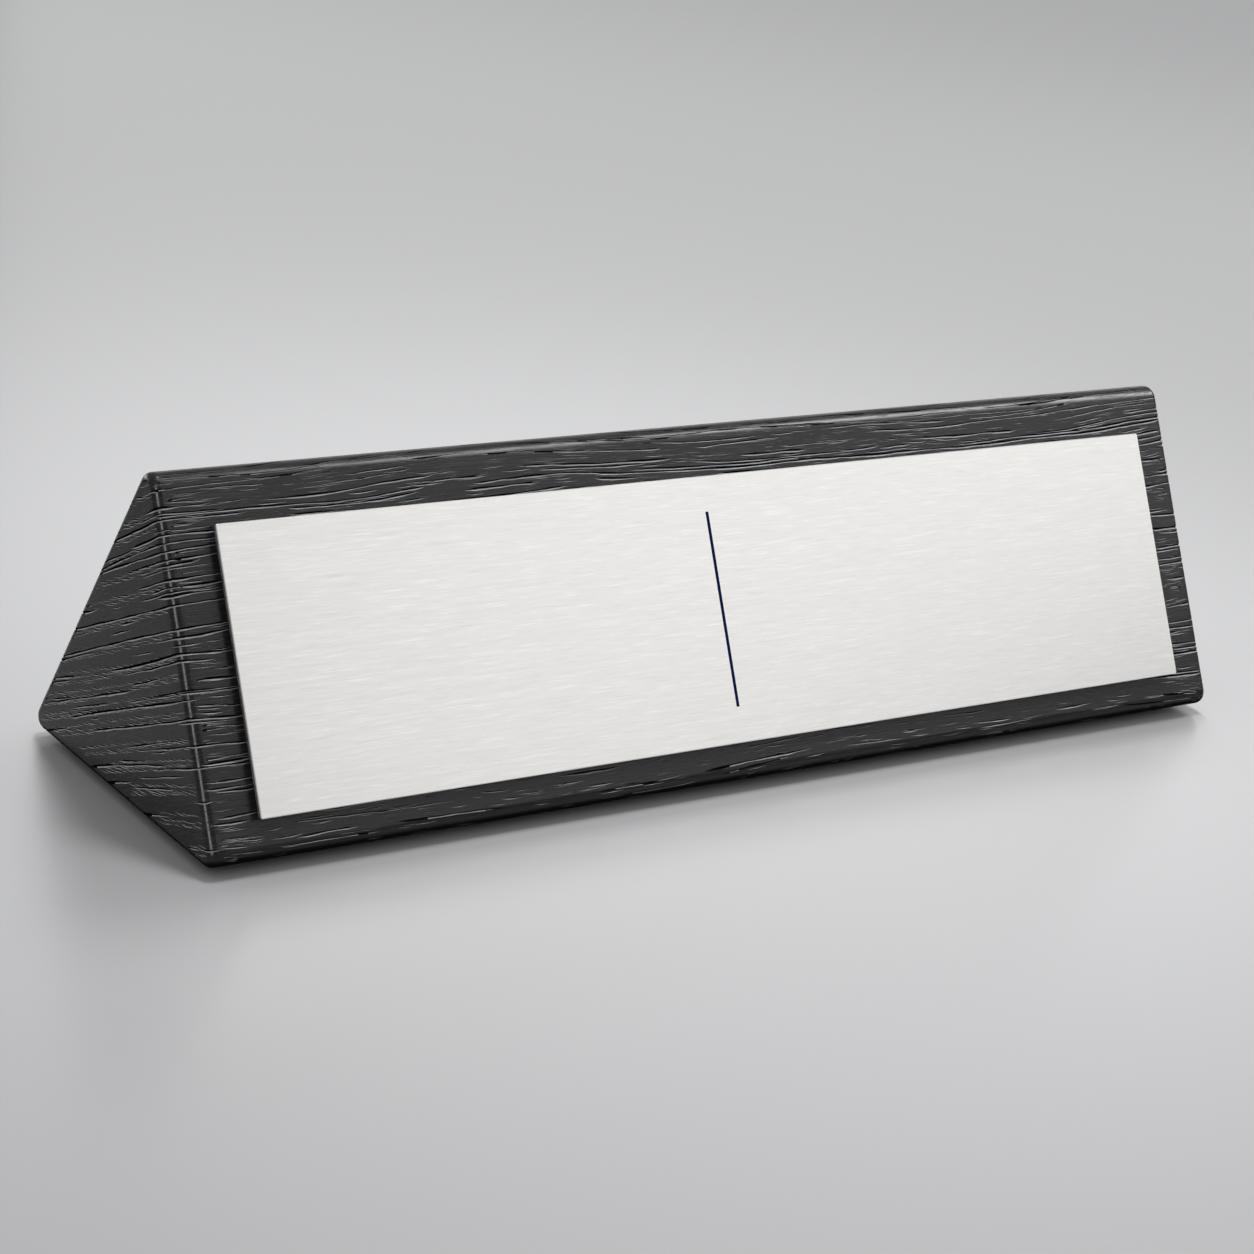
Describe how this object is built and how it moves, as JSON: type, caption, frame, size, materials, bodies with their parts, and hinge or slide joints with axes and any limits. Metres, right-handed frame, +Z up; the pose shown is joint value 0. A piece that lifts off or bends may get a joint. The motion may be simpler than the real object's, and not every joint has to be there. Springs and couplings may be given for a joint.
{
  "type": "desk name plate",
  "caption": "Free-standing triangular desk block in black open-grain wood with a bare brushed metal name plate and an inlaid divider rule on its sloping front, on non-slip pads.",
  "frame": {"origin": "on the desk, under the middle of the block", "axes": "+X along the block to the reader's right, -Y towards the reader, +Z up"},
  "size_m": [0.235, 0.0646, 0.0607],
  "materials": {
    "black_wood": "open-pored wood stained black under a thin satin lacquer",
    "brushed_plate": "fine brushing along the plate, satin",
    "navy_enamel": "hard navy enamel flush with the plate",
    "foam_tape": "closed-cell black foam",
    "pad_rubber": "matt rubber with a fine pebble"
  },
  "bodies": {
    "root": {"wedge_block": "black_wood", "name_plate": "brushed_plate", "divider_rule": "navy_enamel", "tape_lower": "foam_tape", "tape_middle": "foam_tape", "tape_upper": "foam_tape", "pad_front_left": "pad_rubber", "pad_front_right": "pad_rubber", "pad_rear_left": "pad_rubber", "pad_rear_right": "pad_rubber"}
  },
  "joints": []
}
